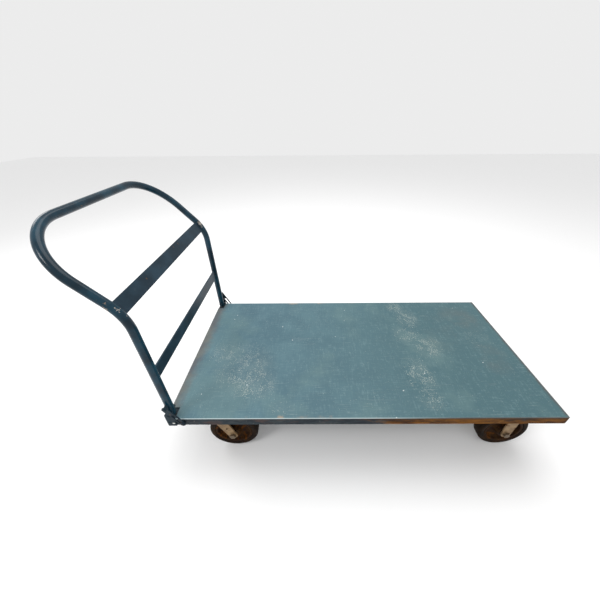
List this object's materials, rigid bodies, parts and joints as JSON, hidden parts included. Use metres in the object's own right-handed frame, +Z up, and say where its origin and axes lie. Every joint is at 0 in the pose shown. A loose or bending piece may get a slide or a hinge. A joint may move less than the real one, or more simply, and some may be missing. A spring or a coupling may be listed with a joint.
{
  "type": "folding platform cart",
  "caption": "Flat-deck platform cart with a fold-down bent tube handle, slotted stays, angle-iron frame, two swivel and two rigid casters.",
  "frame": {"origin": "on the floor, below the middle of the whole cart's box", "axes": "+X from the handle end to the open end of the deck, +Y to the left of a person pushing at the handle, +Z up"},
  "size_m": [1.563, 0.708, 0.9367],
  "materials": {
    "deck_paint": "worn satin, scuffed",
    "handle_paint": "chipped gloss",
    "bar_paint": "satin",
    "frame_paint": "rusted through the paint",
    "underframe_paint": "dusty, rust-stained",
    "bracket_paint": "chipped satin",
    "caster_steel": "dusty and rusted",
    "wheel_iron": "rusted",
    "tread": "matte, dusty",
    "fastener_steel": "tarnished"
  },
  "bodies": {
    "base": {"bracket_rivets": "bracket_paint", "deck_sheet": "deck_paint", "handle_end_rail": "frame_paint", "handle_side_stiffener": "underframe_paint", "left_catch_stud": "bracket_paint", "left_foot_bracket": "bracket_paint", "left_pivot_pin": "bracket_paint", "left_rail": "frame_paint", "left_rigid_axle": "fastener_steel", "left_rigid_axle_nut": "fastener_steel", "left_rigid_fork": "caster_steel", "left_swivel_ball_race": "caster_steel", "left_swivel_kingpin": "fastener_steel", "left_swivel_plate": "caster_steel", "open_end_rail": "frame_paint", "open_side_stiffener": "underframe_paint", "right_catch_stud": "bracket_paint", "right_foot_bracket": "bracket_paint", "right_pivot_pin": "bracket_paint", "right_rail": "frame_paint", "right_rigid_axle": "fastener_steel", "right_rigid_axle_nut": "fastener_steel", "right_rigid_fork": "caster_steel", "right_swivel_ball_race": "caster_steel", "right_swivel_kingpin": "fastener_steel", "right_swivel_plate": "caster_steel", "rigid_channel": "underframe_paint", "rigid_plate_bolts": "fastener_steel", "rigid_plate_nuts": "fastener_steel", "swivel_channel": "underframe_paint", "swivel_plate_bolts": "fastener_steel", "swivel_plate_nuts": "fastener_steel"},
    "handle": {"handle_tube": "handle_paint", "left_pivot_bush": "bracket_paint", "left_stay_rivet": "bracket_paint", "lower_cross_bar": "bar_paint", "right_pivot_bush": "bracket_paint", "right_stay_rivet": "bracket_paint", "upper_cross_bar": "bar_paint"},
    "left_stay": {"left_stay": "bracket_paint"},
    "right_stay": {"right_stay": "bracket_paint"},
    "left_swivel": {"left_swivel_axle": "fastener_steel", "left_swivel_axle_nut": "fastener_steel", "left_swivel_fork": "caster_steel"},
    "left_swivel_wheel": {"left_swivel_bearing": "fastener_steel", "left_swivel_tyre": "tread", "left_swivel_wheel_centre": "wheel_iron"},
    "left_rigid_wheel": {"left_rigid_bearing": "fastener_steel", "left_rigid_tyre": "tread", "left_rigid_wheel_centre": "wheel_iron"},
    "right_swivel": {"right_swivel_axle": "fastener_steel", "right_swivel_axle_nut": "fastener_steel", "right_swivel_fork": "caster_steel"},
    "right_swivel_wheel": {"right_swivel_bearing": "fastener_steel", "right_swivel_tyre": "tread", "right_swivel_wheel_centre": "wheel_iron"},
    "right_rigid_wheel": {"right_rigid_bearing": "fastener_steel", "right_rigid_tyre": "tread", "right_rigid_wheel_centre": "wheel_iron"}
  },
  "joints": [
    {"name": "handle_fold", "type": "hinge", "parent": "base", "child": "handle", "pos_m": [-0.5763, 0, 0.3], "axis": [0, 1, 0], "range_deg": [0, 85]},
    {"name": "left_stay_swing", "type": "hinge", "parent": "handle", "child": "left_stay", "pos_m": [-0.5763, 0.349, 0.34], "axis": [0, 1, 0], "range_deg": [-57, 0]},
    {"name": "right_stay_swing", "type": "hinge", "parent": "handle", "child": "right_stay", "pos_m": [-0.5763, -0.349, 0.34], "axis": [0, 1, 0], "range_deg": [-57, 0]},
    {"name": "left_swivel_turn", "type": "hinge", "parent": "base", "child": "left_swivel", "pos_m": [-0.4525, 0.259, 0.2], "axis": [0, 0, 1], "continuous": true},
    {"name": "left_swivel_wheel_spin", "type": "hinge", "parent": "left_swivel", "child": "left_swivel_wheel", "pos_m": [-0.4045, 0.259, 0.095], "axis": [0, 1, 0], "continuous": true},
    {"name": "left_rigid_wheel_spin", "type": "hinge", "parent": "base", "child": "left_rigid_wheel", "pos_m": [0.6635, 0.259, 0.095], "axis": [0, 1, 0], "continuous": true},
    {"name": "right_swivel_turn", "type": "hinge", "parent": "base", "child": "right_swivel", "pos_m": [-0.4525, -0.259, 0.2], "axis": [0, 0, 1], "continuous": true},
    {"name": "right_swivel_wheel_spin", "type": "hinge", "parent": "right_swivel", "child": "right_swivel_wheel", "pos_m": [-0.4045, -0.259, 0.095], "axis": [0, 1, 0], "continuous": true},
    {"name": "right_rigid_wheel_spin", "type": "hinge", "parent": "base", "child": "right_rigid_wheel", "pos_m": [0.6635, -0.259, 0.095], "axis": [0, 1, 0], "continuous": true}
  ],
  "couplings": [
    {"joint": "left_stay_swing", "follows": "handle_fold", "ratio": -0.67},
    {"joint": "right_stay_swing", "follows": "handle_fold", "ratio": -0.67}
  ]
}
